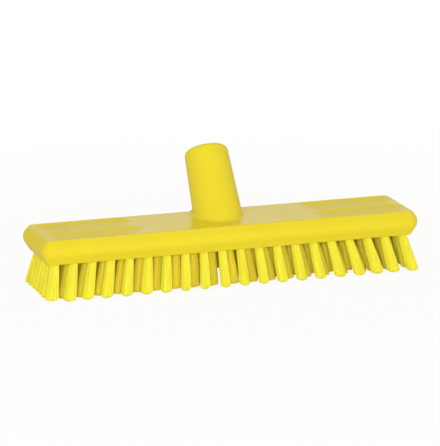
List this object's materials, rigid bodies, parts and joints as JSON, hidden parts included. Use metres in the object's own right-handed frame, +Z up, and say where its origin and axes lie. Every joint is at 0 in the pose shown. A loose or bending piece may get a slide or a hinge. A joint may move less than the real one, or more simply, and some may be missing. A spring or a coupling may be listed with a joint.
{
  "type": "scrub brush",
  "caption": "Deck scrub brush head: long moulded block with a leaning socket for a screw-in handle, and staggered rows of stiff flared bristle tufts trimmed flat below.",
  "frame": {"origin": "on the plane of the trimmed bristle tips, under the middle of the whole outline", "axes": "+X along the block, +Y towards the side that the socket leans to, +Z up from the tips"},
  "size_m": [0.3076, 0.0862, 0.1017],
  "materials": {
    "moulded_plastic": "satin injection moulding",
    "bristle": "drawn filament with a soft sheen",
    "anchor_wire": "plain rolled wire"
  },
  "bodies": {
    "root": {"anchors_row_1_left": "anchor_wire", "anchors_row_1_right": "anchor_wire", "anchors_row_2_left": "anchor_wire", "anchors_row_2_right": "anchor_wire", "anchors_row_3_left": "anchor_wire", "anchors_row_3_right": "anchor_wire", "anchors_row_4_left": "anchor_wire", "anchors_row_4_right": "anchor_wire", "anchors_row_5_left": "anchor_wire", "anchors_row_5_right": "anchor_wire", "anchors_row_6_left": "anchor_wire", "anchors_row_6_right": "anchor_wire", "anchors_row_7_left": "anchor_wire", "anchors_row_7_right": "anchor_wire", "block": "moulded_plastic", "tufts_row_1_left": "bristle", "tufts_row_1_right": "bristle", "tufts_row_2_left": "bristle", "tufts_row_2_right": "bristle", "tufts_row_3_left": "bristle", "tufts_row_3_right": "bristle", "tufts_row_4_left": "bristle", "tufts_row_4_right": "bristle", "tufts_row_5_left": "bristle", "tufts_row_5_right": "bristle", "tufts_row_6_left": "bristle", "tufts_row_6_right": "bristle", "tufts_row_7_left": "bristle", "tufts_row_7_right": "bristle"}
  },
  "joints": []
}
